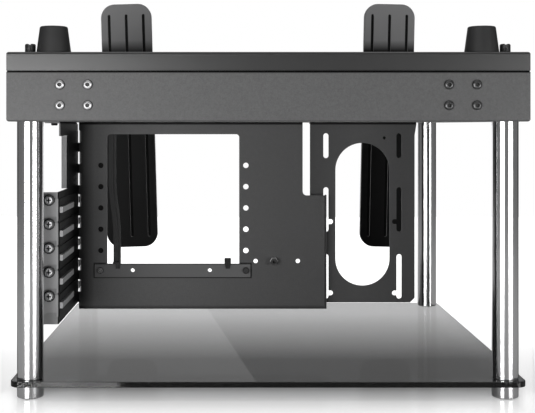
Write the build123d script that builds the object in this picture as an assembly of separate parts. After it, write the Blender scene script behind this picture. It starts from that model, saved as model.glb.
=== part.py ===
from build123d import *
import math
import os

# Open air test bench: a hollow steel deck on four polished tube legs with a
# smoked glass shelf below. A vertical motherboard tray with its expansion
# bracket and a slotted cooler plate hang from the underside of the deck. Two
# moulded feet on the rear wall and four cone feet on top let the bench stand
# on its back or upside down.
# Millimetres. +X right, +Y away from the front, +Z up, floor at Z = 0.
# Y = 0 is the middle of the deck while modelling; the export moves the whole
# bench so that its outline is centred.

# ------------------------------------------------------------------- sizes
# deck: shallow folded cover over a deeper folded pan
DECK_W = 424.0
DECK_D = 378.0
DECK_T = 1.5
COVER_H = 15.2
SEAM_GAP = 1.2
PAN_H = 40.1
LIP_H = 8.0            # joggled lip of the pan that the cover slides over
LIP_FIT = 0.3
DECK_BEND = 2.0        # outside bend radius
CORNER_SLIT = 1.0      # open folded corner

# legs, feet and shelf
LEG_OD = 21.5
LEG_WALL = 1.5
LEG_L = 210.3
LEG_INSET_X = 16.6     # leg axis from the side of the deck
LEG_INSET_Y = 15.3     # leg axis from the front and rear of the deck
PLUG_L = 16.0
PLUG_FIT = 0.1
FOOT_H = 10.0
FOOT_EDGE = 0.8
PAD_D = 17.0
PAD_T = 1.6
PAD_PROUD = 0.6
WASHER_D = 19.0
WASHER_T = 0.4
SHELF_IN_X = 2.0       # shelf edge inside the side of the deck
SHELF_IN_Y = 0.7
SHELF_T = 4.8
SHELF_R = 8.0
SHELF_HOLE = 8.0

# leg bolts with a slotted knob head
BOLT_D = 6.0
BOLT_CLEAR = 0.4
STUD_FIT = 0.1
KNOB_D = 8.8
KNOB_H = 7.4
KNOB_SLOT = 1.4
KNOB_SLOT_H = 3.4
KNOB_EDGE = 1.3        # rounding of the two lobes

# corner brackets inside the deck
BRKT_W = 69.0
BRKT_D = 38.0
BRKT_T = 2.0
BRKT_BEND = 3.0
BRKT_SIDE_GAP = 1.0

# 2 x 2 screw pattern on the front and rear walls
WALL_SCREW_IN = 54.6   # middle of the pattern from the side of the deck
WALL_SCREW_PX = 22.6
WALL_SCREW_PZ = 16.7
WALL_SCREW_Z = 21.5    # middle of the pattern above the deck's underside
M4_D = 4.0
M4_CLEAR = 0.3
M4_HEAD_D = 7.9
M4_HEAD_H = 2.4
M4_NUT_AF = 7.0
M4_NUT_H = 3.2
M4_SOCKET_AF = 3.2

# cone feet on top
CONE_IN = 35.9         # cone axis from the side of the deck
CONE_D1 = 28.4
CONE_D2 = 22.6
CONE_H = 21.7
CONE_EDGE = 1.6
CONE_BORE = 9.0
CONE_BORE_DEPTH = 12.0

# moulded stand feet on the rear wall
STAND_IN = {-1: 61.9, 1: 59.7}    # axis from the side of the deck, as fitted
STAND_L = 284.5
STAND_TOP_W = 59.0
STAND_FOOT_W = 59.0
STAND_T = 10.0
STAND_R = 16.0
STAND_RISE = 82.4      # top of the stand foot above the deck's top
STAND_ROLL = {-1: 1.66, 1: 1.2}   # degrees, tops outward
STAND_GROOVES = 3
STAND_GROOVE_P = 20.0
STAND_GROOVE_W = 3.3
STAND_GROOVE_D = 2.2
STAND_GROOVE_END = 12.0
STAND_SCREW_BITE = 7.0

# sheet of the tray and of the expansion bracket
SHEET = 1.2
SMALL_R = 2.0
TAB_R = 1.5            # tighter bend of the slot tabs
FLANGE = 12.0
RELIEF = 0.3           # cut at the end of a bend

# What hangs below the deck is modelled with Z = 0 at the deck's underside.
# motherboard tray
TRAY_BACK = 152.0      # front face behind the front of the deck
TRAY_GAP = 0.1         # between the tray and the bend of the bracket
TRAY_X1 = 37.9         # upper right edge
TRAY_X2 = 61.0         # lower right edge, outside of its fold
TRAY_STEP_Z = -70.0
TRAY_Z0 = -178.8
TRAY_BEND = 4.0
TRAY_RETURN = 14.0
COOL_FREE = 0.8        # air between the tray's side return and the cooler plate
WINDOW_X0 = -148.6
WINDOW_X1 = -22.7
WINDOW_Z0 = -138.5
WINDOW_Z1 = -11.6
WINDOW_R = 3.0
TRAY_HOLE = 5.2
TRAY_HOLE_X = (-154.8, -16.3)
TRAY_HOLE_Z = -122.6   # lowest hole of each column
TRAY_HOLE_N = 5
SMALL_HOLE = 4.2
LOW_ROW_Z = -132.6
LOW_HOLE_X = (-7.0, 33.3)
STANDOFF_X = 10.4
STANDOFF_AF = 6.4
STANDOFF_L = 6.5

# expansion slots
SLOT_PITCH = 20.32
SLOT_N = 5
SLOT_Z = -74.8         # centre of the top slot
SLOT_SCREW_UP = 8.5    # screw above the centre of its slot
SLOT_DEPTH = 112.0     # slot tabs in front of the tray
EXTRA_TONGUES = 3
BRACKET_X = -176.6     # inner face of the side plate
BRACKET_Z0 = -171.9
BRACKET_Z1 = -59.8     # top of the slot field
BRACKET_Z2 = -12.3     # top of the set-back part
SETBACK = 50.0         # set-back edge behind the slot tabs
EAR_BACK = 11.0        # ear behind the slot tabs
TAB_X = -190.0
OUT_FLANGE = 5.5
TOP_FLANGE = 13.5
REAR_FLANGE = 26.5
OPENING_H = 12.4
OPENING_FRONT = 9.0    # opening behind the slot tabs
OPENING_REAR = 23.0    # opening in front of the tray
TONGUE_SLOT_W = 2.9
TONGUE_SLOT_H = 11.8
COVER_W = 18.4
COVER_T = 0.9
COVER_GAP_Y = 1.0      # slot cover plate stops short of the tray
TONGUE_W = 5.8
TONGUE_UP = 1.2        # tongue above the centre of its cover
TONGUE_T = 1.7         # hemmed end
TONGUE_BEHIND = 9.0
COVER_TAB_X = -189.0
NOTCH_D = 4.4
RIB_W = 5.0
RIB_H = 2.5
RIB_L = 62.0
RIB_T = 0.8
SLOT_SCREW_X = -184.1
SLOT_SCREW_D = 3.5
SLOT_HEAD_D = 7.4
SLOT_HEAD_H = 2.6
COLLAR_D = 9.8
COLLAR_H = 2.0

# crossbar under the tray window
BAR_X0 = -160.7
BAR_X1 = -11.6
BAR_Z0 = -148.0
BAR_Z1 = -135.0
BAR_T = 2.4
BAR_EDGE = 0.4
BAR_SCREW_Z = -141.2
BAR_HOLE = 3.9
BAR_HOLE_X = (-124.2, -50.7)
M3_D = 3.0
M3_CLEAR = 0.3
M3_HEAD_D = 6.2
M3_HEAD_H = 2.0
M3_NUT_AF = 5.5
M3_NUT_H = 2.4

# retaining strap and cable clip that hook over the crossbar
STRAP_X = -139.3       # middle of the lower end
STRAP_SHIFT = -4.7     # upper end beside the lower one
STRAP_BEND_Z = (-52.0, -112.0)
STRAP_W = 7.0
STRAP_RIB_W = 4.6
STRAP_T = 1.6
STRAP_THIN = 0.7
HOOK_DROP = 4.5
HOOK_FIT = 0.1
CLIP_X = -33.6
CLIP_W = 6.2
CLIP_RISE = 5.2
CLIP_T = 1.2
CLIP_GROOVE = 0.4

# cooler plate
COOL_BEHIND = 11.2     # front face behind the front face of the tray
COOL_T = 1.5
COOL_X0 = 45.7
COOL_X1 = 146.7
COOL_Z0 = -174.0
COOL_CHAMFER = 4.5
GUSSET_W = 1.7         # widening under the deck at the right edge
GUSSET_H = 10.5
STADIUM_X = 96.4
STADIUM_W = 52.3
STADIUM_Z0 = -157.8
STADIUM_Z1 = -20.1
COOL_SLOT_PX = 70.6
COOL_SLOT_W = 5.1
COOL_SLOTS = ((-34.8, -10.7), (-105.9, -62.8), (-170.5, -127.4))
COOL_NOTCH_Z = (-96.1, -164.9)
COOL_NOTCH_REACH = 4.3 # end of the notch beyond the edge of its slot
COOL_PIN_X = 117.5
COOL_PIN_Z = -15.2
COOL_PIN_D = 3.1

# ----------------------------------------------------------- derived places
FOOT_Z0 = PAD_PROUD
SHELF_Z0 = FOOT_Z0 + FOOT_H + WASHER_T
SHELF_Z1 = SHELF_Z0 + SHELF_T
LEG_Z0 = SHELF_Z1 + WASHER_T
DECK_Z = LEG_Z0 + LEG_L                      # underside of the deck
PAN_Z1 = DECK_Z + PAN_H
COVER_Z0 = PAN_Z1 + SEAM_GAP
DECK_TOP = COVER_Z0 + COVER_H
LEG_X = DECK_W / 2 - LEG_INSET_X
LEG_Y = DECK_D / 2 - LEG_INSET_Y
FRONT_Y = -DECK_D / 2
REAR_Y = DECK_D / 2
SHELF_W = DECK_W - 2 * SHELF_IN_X
SHELF_D = DECK_D - 2 * SHELF_IN_Y
CONE_X = DECK_W / 2 - CONE_IN
WALL_SCREW_X = DECK_W / 2 - WALL_SCREW_IN
BRKT_X1 = DECK_W / 2 - DECK_T - BRKT_SIDE_GAP
BRKT_X0 = BRKT_X1 - BRKT_W
FLOOR_Z = DECK_Z + DECK_T                    # inner floor of the pan
ROOF_Z = DECK_TOP - DECK_T                   # inner face of the cover
WALL_SCREW_MID = DECK_Z + WALL_SCREW_Z
TRAY_Y = FRONT_Y + TRAY_BACK
COOL_Y = TRAY_Y + COOL_BEHIND
TAB_Y = TRAY_Y - SLOT_DEPTH                  # front face of the slot cover tabs
SETBACK_Y = TAB_Y + SETBACK
EAR_Y = TAB_Y + EAR_BACK
TAB_TANGENT_Y = TAB_Y + TAB_R + COVER_T
RIB_Y0 = TAB_TANGENT_Y + 0.2
RIB_Y1 = RIB_Y0 + RIB_L
TRAY_X0 = BRACKET_X + SMALL_R - SHEET + TRAY_GAP
Y_MIDDLE = (FRONT_Y - M4_HEAD_H + REAR_Y + STAND_T) / 2
CORNERS = {
    "front_left": (-1, -1),
    "front_right": (1, -1),
    "rear_left": (-1, 1),
    "rear_right": (1, 1),
}


# ------------------------------------------------------------------ helpers
def block(x0, x1, y0, y1, z0, z1):
    return Pos((x0 + x1) / 2, (y0 + y1) / 2, (z0 + z1) / 2) * Box(
        abs(x1 - x0), abs(y1 - y0), abs(z1 - z0)
    )


def rod(x, y, z0, z1, d):
    return Pos(x, y, (z0 + z1) / 2) * Cylinder(d / 2, z1 - z0)


def rod_y(x, z, y0, y1, d):
    return Pos(x, (y0 + y1) / 2, z) * Rot(90, 0, 0) * Cylinder(d / 2, y1 - y0)


def slab(sketch, y0, t):
    """Extrude an X-Z sketch from its front face y0 backward by t."""
    plane = Plane((0, y0, 0), x_dir=(1, 0, 0), z_dir=(0, -1, 0))
    return extrude(plane * sketch, amount=-t)


def side_slab(sketch, x0, t):
    """Extrude a Y-Z sketch from x0 toward +X by t."""
    plane = Plane((x0, 0, 0), x_dir=(0, 1, 0), z_dir=(1, 0, 0))
    return extrude(plane * sketch, amount=t)


def fold(origin, a, b, length, t, r, depth):
    """Bend and flange on a plate edge.

    a points off the plate's edge, b through its thickness to the side that
    the flange turns to. The run starts at origin and goes along a x b.
    """
    a, b = Vector(*a), Vector(*b)
    edges = [
        CenterArc((0, r), r, -90, 90),
        Line((r, r), (r, depth)),
        Line((r, depth), (r - t, depth)),
        Line((r - t, depth), (r - t, r)),
        CenterArc((0, r), r - t, 0, -90),
        Line((0, t), (0, 0)),
    ]
    plane = Plane(origin=origin, x_dir=a, z_dir=a.cross(b))
    return extrude(plane * make_face(edges), amount=length)


def slot_z(x, z0, z1, w):
    """Sketch of an upright slot with round ends."""
    return Pos(x, (z0 + z1) / 2) * SlotOverall(z1 - z0, w, rotation=90)


def hexagon(af):
    return RegularPolygon(af / math.sqrt(3), 6)


def nut(af, h, d):
    return extrude(hexagon(af) - Circle(d / 2), amount=h)


def button_screw(d, head_d, head_h, length, hex_af):
    """Screw along -Z from its seat at Z = 0, domed head above with a hex socket."""
    head = revolve(
        Plane.XZ
        * make_face(
            [
                Line((0, 0), (head_d / 2, 0)),
                Line((head_d / 2, 0), (head_d / 2, head_h * 0.3)),
                ThreePointArc(
                    (head_d / 2, head_h * 0.3),
                    (head_d * 0.40, head_h * 0.78),
                    (head_d * 0.26, head_h),
                ),
                Line((head_d * 0.26, head_h), (0, head_h)),
                Line((0, head_h), (0, 0)),
            ]
        ),
        Axis.Z,
    )
    socket = Pos(0, 0, head_h * 0.35) * extrude(hexagon(hex_af), amount=head_h)
    shank = Pos(0, 0, -length / 2) * Cylinder(d / 2, length)
    return head - socket + shank


def cross_screw(d, head_d, head_h, length):
    """Pan head screw along -Z from its seat at Z = 0 with a cross recess."""
    head = Pos(0, 0, head_h / 2) * Cylinder(head_d / 2, head_h)
    head = chamfer(head.edges().group_by(Axis.Z)[-1], head_h * 0.3)
    arm = head_d * 0.58
    wide = head_d * 0.17
    deep = head_h * 0.6
    cross = Box(arm, wide, deep) + Box(wide, arm, deep)
    head -= Pos(0, 0, head_h - deep / 2) * cross
    return head + Pos(0, 0, -length / 2) * Cylinder(d / 2, length)


def to_front(x, y, z):
    """Place a +Z up fastener so that its head faces the front."""
    return Pos(x, y, z) * Rot(90, 0, 0)


def to_rear(x, y, z):
    return Pos(x, y, z) * Rot(-90, 0, 0)


def wall_points():
    """The 2 x 2 pattern of one corner, as X and Z about the deck's middle."""
    return [
        (WALL_SCREW_X + i * WALL_SCREW_PX / 2, WALL_SCREW_MID + k * WALL_SCREW_PZ / 2)
        for i in (-1, 1)
        for k in (-1, 1)
    ]


# --------------------------------------------------------------------- deck
def folded_tray(w, d, h, t, r, slit):
    """Open topped tray: a floor and four folded walls. The front and rear
    walls run past the side walls, which stop short of them by the slit."""
    body = Box(w, d, h) - Pos(0, 0, t) * Box(w - 2 * t, d - 2 * t, h)
    floor_edges = body.faces().sort_by(Axis.Z)[0].edges()
    body = fillet(floor_edges, r)
    inner = body.edges().filter_by(
        lambda e: abs(e.center().Z - (-h / 2 + t)) < 0.01 and e.length > min(w, d) / 2
    )
    if r > t:
        body = fillet(inner, r - t)
    reach = t + slit
    for sx in (-1, 1):
        for sy in (-1, 1):
            body -= Pos(sx * w / 2, sy * d / 2, r) * Box(2 * reach, 2 * reach, h)
            body += Pos(sx * (w / 2 - reach / 2), sy * (d / 2 - t / 2), r / 2) * Box(reach, t, h - r)
    return body


def top_cover():
    body = Pos(0, 0, COVER_Z0 + COVER_H / 2) * Rot(180, 0, 0) * folded_tray(
        DECK_W, DECK_D, COVER_H, DECK_T, DECK_BEND, CORNER_SLIT
    )
    for sx, sy in CORNERS.values():
        body -= rod(sx * LEG_X, sy * LEG_Y, COVER_Z0, DECK_TOP + 1, BOLT_D + BOLT_CLEAR)
        body -= rod(sx * CONE_X, sy * LEG_Y, COVER_Z0, DECK_TOP + 1, M4_D + M4_CLEAR)
    return body


def hanger_points():
    """Screws that hang the tray, the cooler plate and the bracket."""
    tray_y = TRAY_Y + FLANGE * 0.6
    cool_y = COOL_Y + FLANGE * 0.6
    side_x = BRACKET_X - FLANGE * 0.6
    return {
        "tray": [(x, tray_y) for x in (WINDOW_X0 + 8, (WINDOW_X0 + WINDOW_X1) / 2, WINDOW_X1)],
        "cooler": [(x, cool_y) for x in (COOL_X0 + 14, COOL_X1 - 14)],
        "bracket": [(side_x, y) for y in (EAR_Y + 12, TRAY_Y - 16)],
    }


def deck_pan():
    body = Pos(0, 0, DECK_Z + PAN_H / 2) * folded_tray(
        DECK_W, DECK_D, PAN_H, DECK_T, DECK_BEND, CORNER_SLIT
    )
    # joggled lips that stand up inside the cover's rim, between the brackets
    off = DECK_T + LIP_FIT
    half_x = BRKT_X0 - 3
    half_y = DECK_D / 2 - DECK_T - BRKT_D - 3
    for s in (-1, 1):
        y0, y1 = s * (DECK_D / 2), s * (DECK_D / 2 - off - DECK_T)
        body += block(-half_x, half_x, y0, y1, PAN_Z1 - DECK_T, PAN_Z1)
        body += block(
            -half_x, half_x, s * (DECK_D / 2 - off), y1, PAN_Z1 - DECK_T, PAN_Z1 + LIP_H
        )
        x0, x1 = s * (DECK_W / 2), s * (DECK_W / 2 - off - DECK_T)
        body += block(x0, x1, -half_y, half_y, PAN_Z1 - DECK_T, PAN_Z1)
        body += block(
            s * (DECK_W / 2 - off), x1, -half_y, half_y, PAN_Z1 - DECK_T, PAN_Z1 + LIP_H
        )
    for sx, sy in CORNERS.values():
        body -= rod(sx * LEG_X, sy * LEG_Y, DECK_Z - 1, FLOOR_Z + 1, BOLT_D + BOLT_CLEAR)
        for x, z in wall_points():
            body -= rod_y(
                sx * x, z, sy * DECK_D / 2 - DECK_T - 1, sy * DECK_D / 2 + DECK_T + 1, M4_D + M4_CLEAR
            )
    for points in hanger_points().values():
        for x, y in points:
            body -= rod(x, y, DECK_Z - 1, FLOOR_Z + 1, M3_D + M3_CLEAR)
    return body


def corner_bracket(sx, sy):
    """Channel that clamps between the pan's floor and the cover."""
    h = ROOF_Z - FLOOR_Z
    t, r = BRKT_T, BRKT_BEND
    y0 = REAR_Y - DECK_T
    outer = Pos(y0 - BRKT_D / 2, FLOOR_Z + h / 2) * Rectangle(BRKT_D, h)
    outer = fillet(outer.vertices().group_by(Axis.X)[-1], r)
    hollow = Pos(y0 - t - BRKT_D / 2, FLOOR_Z + h / 2) * Rectangle(BRKT_D, h - 2 * t)
    hollow = fillet(hollow.vertices().group_by(Axis.X)[-1], r - t)
    body = side_slab(outer - hollow, BRKT_X0, BRKT_W)
    body -= rod(LEG_X, LEG_Y, FLOOR_Z - 1, ROOF_Z + 1, BOLT_D + BOLT_CLEAR)
    body -= rod(CONE_X, LEG_Y, ROOF_Z - t - 1, ROOF_Z + 1, M4_D + M4_CLEAR)
    for x, z in wall_points():
        body -= rod_y(x, z, y0 - t - 1, y0 + 1, M4_D + M4_CLEAR)
    if sx < 0:
        body = mirror(body, Plane.YZ)
    if sy < 0:
        body = mirror(body, Plane.XZ)
    return body


# --------------------------------------------------------- legs and shelf
def leg(sx, sy):
    x, y = sx * LEG_X, sy * LEG_Y
    return rod(x, y, LEG_Z0, DECK_Z, LEG_OD) - rod(
        x, y, LEG_Z0 - 1, DECK_Z + 1, LEG_OD - 2 * LEG_WALL
    )


def leg_plugs():
    """Threaded plugs in both ends of each leg."""
    d = LEG_OD - 2 * LEG_WALL - 2 * PLUG_FIT
    out = []
    for sx, sy in CORNERS.values():
        x, y = sx * LEG_X, sy * LEG_Y
        for z0, z1 in ((LEG_Z0, LEG_Z0 + PLUG_L), (DECK_Z - PLUG_L, DECK_Z)):
            out.append(rod(x, y, z0, z1, d) - rod(x, y, z0 - 1, z1 + 1, BOLT_D + 2 * STUD_FIT))
    return out


def leg_bolts():
    """Long bolts down through the deck, each with a slotted two lobed knob."""
    knob = Pos(0, 0, KNOB_H / 2) * Cylinder(KNOB_D / 2, KNOB_H)
    knob -= Pos(0, 0, KNOB_H - KNOB_SLOT_H / 2) * Box(KNOB_SLOT, KNOB_D * 2, KNOB_SLOT_H)
    knob = fillet(knob.edges().group_by(Axis.Z)[-1], KNOB_EDGE)
    for i in range(8):
        a = math.radians(22.5 + 45 * i)
        knob -= rod(
            KNOB_D * 0.53 * math.cos(a),
            KNOB_D * 0.53 * math.sin(a),
            -1,
            KNOB_H - KNOB_SLOT_H,
            KNOB_D * 0.17,
        )
    length = DECK_TOP - DECK_Z + PLUG_L * 0.8
    bolt = knob + Pos(0, 0, -length / 2) * Cylinder(BOLT_D / 2, length)
    return [Pos(sx * LEG_X, sy * LEG_Y, DECK_TOP) * bolt for sx, sy in CORNERS.values()]


def foot(sx, sy):
    x, y = sx * LEG_X, sy * LEG_Y
    body = rod(x, y, FOOT_Z0, FOOT_Z0 + FOOT_H, LEG_OD)
    body = fillet(body.edges().group_by(Axis.Z)[0], FOOT_EDGE)
    body -= rod(x, y, FOOT_Z0 - 1, FOOT_Z0 + PAD_T - PAD_PROUD, PAD_D + 2 * STUD_FIT)
    body -= rod(x, y, FOOT_Z0 + FOOT_H * 0.35, SHELF_Z0, BOLT_D + 2 * STUD_FIT)
    return body


def foot_pads():
    return [rod(sx * LEG_X, sy * LEG_Y, 0, PAD_T, PAD_D) for sx, sy in CORNERS.values()]


def foot_studs():
    z0 = FOOT_Z0 + FOOT_H * 0.35
    return [
        rod(sx * LEG_X, sy * LEG_Y, z0, LEG_Z0 + PLUG_L * 0.7, BOLT_D)
        for sx, sy in CORNERS.values()
    ]


def shelf_washers():
    out = []
    for sx, sy in CORNERS.values():
        x, y = sx * LEG_X, sy * LEG_Y
        for z0 in (SHELF_Z0 - WASHER_T, SHELF_Z1):
            out.append(
                rod(x, y, z0, z0 + WASHER_T, WASHER_D)
                - rod(x, y, z0 - 1, z0 + WASHER_T + 1, SHELF_HOLE)
            )
    return out


def glass_shelf():
    outline = RectangleRounded(SHELF_W, SHELF_D, SHELF_R)
    body = Pos(0, 0, SHELF_Z0) * extrude(outline, amount=SHELF_T)
    body = chamfer(body.edges().group_by(Axis.Z)[0] + body.edges().group_by(Axis.Z)[-1], 0.4)
    for sx, sy in CORNERS.values():
        body -= rod(sx * LEG_X, sy * LEG_Y, SHELF_Z0 - 1, SHELF_Z1 + 1, SHELF_HOLE)
    return body


# ---------------------------------------------------------- cones and stand
def cone_foot(sx, sy):
    r1, r2 = CONE_D1 / 2, CONE_D2 / 2
    half = M4_D / 2 + M4_CLEAR / 2
    bore = CONE_BORE / 2
    seat = CONE_H - CONE_BORE_DEPTH
    profile = Polyline(
        [(half, 0), (r1, 0), (r2, CONE_H), (bore, CONE_H), (bore, seat), (half, seat)],
        close=True,
    )
    face = make_face(profile)
    face = fillet(face.vertices().sort_by(Axis.Y)[-2:].sort_by(Axis.X)[-1:], CONE_EDGE)
    return Pos(sx * CONE_X, sy * LEG_Y, DECK_TOP) * revolve(Plane.XZ * face, Axis.Z)


def cone_screws():
    length = CONE_H - CONE_BORE_DEPTH + DECK_T + BRKT_T + M4_NUT_H + 1
    screw = cross_screw(M4_D, M4_HEAD_D, M4_HEAD_H, length)
    z = DECK_TOP + CONE_H - CONE_BORE_DEPTH
    return [Pos(sx * CONE_X, sy * LEG_Y, z) * screw for sx, sy in CORNERS.values()]


def cone_nuts():
    one = nut(M4_NUT_AF, M4_NUT_H, M4_D + 2 * STUD_FIT)
    z = ROOF_Z - BRKT_T - M4_NUT_H
    return [Pos(sx * CONE_X, sy * LEG_Y, z) * one for sx, sy in CORNERS.values()]


def stand_foot(sx):
    """Long moulded foot with round ends and three grooves down its front."""
    top = DECK_TOP + STAND_RISE
    mid = top - STAND_L / 2
    half = STAND_L / 2
    outline = make_face(
        Polyline(
            [
                (-STAND_FOOT_W / 2, -half),
                (STAND_FOOT_W / 2, -half),
                (STAND_TOP_W / 2, half),
                (-STAND_TOP_W / 2, half),
            ],
            close=True,
        )
    )
    outline = fillet(outline.vertices(), STAND_R)
    body = slab(outline, REAR_Y, STAND_T)
    rear = body.faces().sort_by(Axis.Y)[-1].edges()
    body = fillet(rear, STAND_T * 0.3)
    front = body.faces().sort_by(Axis.Y)[0].edges()
    body = fillet(front, STAND_T * 0.12)
    run = STAND_L - 2 * STAND_GROOVE_END
    for i in range(STAND_GROOVES):
        x = (i - (STAND_GROOVES - 1) / 2) * STAND_GROOVE_P
        groove = slab(slot_z(x, -run / 2, run / 2, STAND_GROOVE_W), REAR_Y - 1, STAND_GROOVE_D + 1)
        body -= groove
    x_foot = sx * (DECK_W / 2 - STAND_IN[sx])
    body = Pos(x_foot, 0, mid) * Rot(0, sx * STAND_ROLL[sx], 0) * body
    for x, z in wall_points():
        body -= rod_y(sx * x, z, REAR_Y - 1, REAR_Y + STAND_SCREW_BITE, M4_D + 2 * STUD_FIT)
    return body


def wall_screws(sx):
    """Button head screws of one front corner."""
    screw = button_screw(
        M4_D, M4_HEAD_D, M4_HEAD_H, DECK_T + BRKT_T + M4_NUT_H + 0.8, M4_SOCKET_AF
    )
    return [to_front(sx * x, FRONT_Y, z) * screw for x, z in wall_points()]


def wall_nuts():
    one = nut(M4_NUT_AF, M4_NUT_H, M4_D + 2 * STUD_FIT)
    y = FRONT_Y + DECK_T + BRKT_T
    return [
        to_rear(sx * x, y, z) * one for sx in (-1, 1) for x, z in wall_points()
    ]


def stand_screws():
    """Screws from inside the deck into the stand feet."""
    y = REAR_Y - DECK_T - BRKT_T
    screw = cross_screw(M4_D, M4_HEAD_D, M4_HEAD_H, DECK_T + BRKT_T + STAND_SCREW_BITE - 0.5)
    return [
        to_front(sx * x, y, z) * screw for sx in (-1, 1) for x, z in wall_points()
    ]


# ---------------------------------------------------------- motherboard tray
def tongue_slots():
    """Sketch of all tongue slots beside the fold of the bracket."""
    cuts = Sketch()
    for i in range(-EXTRA_TONGUES, SLOT_N):
        cuts += Pos(
            BRACKET_X + TONGUE_SLOT_W / 2, SLOT_Z - i * SLOT_PITCH
        ) * RectangleRounded(TONGUE_SLOT_W, TONGUE_SLOT_H, TONGUE_SLOT_W * 0.3)
    return cuts


def motherboard_tray():
    t, r = SHEET, TRAY_BEND
    top = -SMALL_R
    plate = make_face(
        Polyline(
            [
                (TRAY_X0, TRAY_Z0 + r),
                (TRAY_X2 - r, TRAY_Z0 + r),
                (TRAY_X2 - r, TRAY_STEP_Z),
                (TRAY_X1, TRAY_STEP_Z),
                (TRAY_X1, top),
                (TRAY_X0, top),
            ],
            close=True,
        )
    )
    inner = plate.vertices().sort_by_distance((TRAY_X1, TRAY_STEP_Z, 0))[0]
    plate = fillet([inner], SMALL_R * 2)
    body = slab(plate, TRAY_Y, t)
    # lower part: plate with its bottom and right returns, closed at the corner
    outer = block(TRAY_X0, TRAY_X2, TRAY_Y, TRAY_Y + TRAY_RETURN, TRAY_Z0, TRAY_STEP_Z)
    hollow = block(
        TRAY_X0 - 1, TRAY_X2 - t, TRAY_Y + t, TRAY_Y + TRAY_RETURN + 1, TRAY_Z0 + t, TRAY_STEP_Z + 1
    )
    low = []
    for part, radius in ((outer, r), (hollow, r - t)):
        front = part.faces().sort_by(Axis.Y)[0].edges()
        low.append(fillet(front.sort_by(Axis.Z)[:1] + front.sort_by(Axis.X)[-1:], radius))
    body += low[0] - low[1]
    # the side return stops in front of the cooler plate
    body -= block(
        COOL_X0 - 2,
        TRAY_X2 + 1,
        COOL_Y - COOL_FREE,
        TRAY_Y + TRAY_RETURN + 1,
        COOL_Z0 - 2 * COOL_FREE,
        TRAY_STEP_Z + 1,
    )
    body += fold((TRAY_X1, TRAY_Y, top), (0, 0, 1), (0, 1, 0), TRAY_X1 - TRAY_X0, t, SMALL_R, FLANGE)
    # window, holes and tongue slots
    cuts = Pos((WINDOW_X0 + WINDOW_X1) / 2, (WINDOW_Z0 + WINDOW_Z1) / 2) * RectangleRounded(
        WINDOW_X1 - WINDOW_X0, WINDOW_Z1 - WINDOW_Z0, WINDOW_R
    )
    cuts += tongue_slots()
    for x in TRAY_HOLE_X:
        for i in range(TRAY_HOLE_N):
            cuts += Pos(x, TRAY_HOLE_Z + i * SLOT_PITCH) * Circle(TRAY_HOLE / 2)
        cuts += Pos(x, BAR_SCREW_Z) * Circle((M3_D + M3_CLEAR) / 2)
    for x in LOW_HOLE_X:
        cuts += Pos(x, LOW_ROW_Z) * Circle(SMALL_HOLE / 2)
    cuts += Pos(STANDOFF_X, LOW_ROW_Z) * Circle((M3_D + M3_CLEAR) / 2)
    for x in BAR_HOLE_X:
        cuts += Pos(x, BAR_SCREW_Z) * Circle(BAR_HOLE / 2)
    body -= slab(cuts, TRAY_Y - 1, t + 2)
    for x, y in hanger_points()["tray"]:
        body -= rod(x, y, -SMALL_R - 1, 1, M3_D + M3_CLEAR)
    return body


def standoff():
    """Hex standoff with its stud through the tray."""
    body = extrude(hexagon(STANDOFF_AF) - Circle(M3_D / 2), amount=STANDOFF_L)
    body = to_front(STANDOFF_X, TRAY_Y, LOW_ROW_Z) * body
    stud = rod_y(STANDOFF_X, LOW_ROW_Z, TRAY_Y - 2, TRAY_Y + SHEET + M3_NUT_H, M3_D)
    lock = to_rear(STANDOFF_X, TRAY_Y + SHEET, LOW_ROW_Z) * nut(M3_NUT_AF, M3_NUT_H, M3_D)
    return body + stud + lock


def crossbar():
    bar = Pos((BAR_X0 + BAR_X1) / 2, (BAR_Z0 + BAR_Z1) / 2) * RectangleRounded(
        BAR_X1 - BAR_X0, BAR_Z1 - BAR_Z0, 1.0
    )
    for x in TRAY_HOLE_X:
        bar -= Pos(x, BAR_SCREW_Z) * Circle((M3_D + M3_CLEAR) / 2)
    for x in BAR_HOLE_X:
        bar -= Pos(x, BAR_SCREW_Z) * Circle(BAR_HOLE / 2)
    body = slab(bar, TRAY_Y - BAR_T, BAR_T)
    rim = body.faces().sort_by(Axis.Y)[0].outer_wire().edges()
    return chamfer(rim, BAR_EDGE)


def crossbar_screws():
    screw = cross_screw(M3_D, M3_HEAD_D, M3_HEAD_H, BAR_T + SHEET + SHEET + M3_NUT_H)
    lock = to_rear(0, 0, 0) * nut(M3_NUT_AF, M3_NUT_H, M3_D + 2 * STUD_FIT)
    out = []
    for x in TRAY_HOLE_X:
        out.append(to_front(x, TRAY_Y - BAR_T, BAR_SCREW_Z) * screw)
    for x, back in zip(TRAY_HOLE_X, (2 * SHEET, SHEET)):
        out.append(Pos(x, TRAY_Y + back, BAR_SCREW_Z) * lock)
    return out


def strap_band(side, w):
    """Sketch of the strap: straight ends joined by a gentle S. side is the
    band's left edge beside the middle of the strap."""
    z0, z1 = BAR_Z0, -SHEET - 1
    high, low = STRAP_BEND_Z
    pull = (high - low) * 0.45
    edges = []
    for dx in (side, side + w):
        x0, x1 = STRAP_X + dx, STRAP_X + STRAP_SHIFT + dx
        edges += [
            Line((x0, z0), (x0, low)),
            Bezier((x0, low), (x0, low + pull), (x1, high - pull), (x1, high)),
            Line((x1, high), (x1, z1)),
        ]
    x0, x1 = STRAP_X + side, STRAP_X + STRAP_SHIFT + side
    edges += [Line((x0, z0), (x0 + w, z0)), Line((x1, z1), (x1 + w, z1))]
    return make_face(edges)


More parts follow.
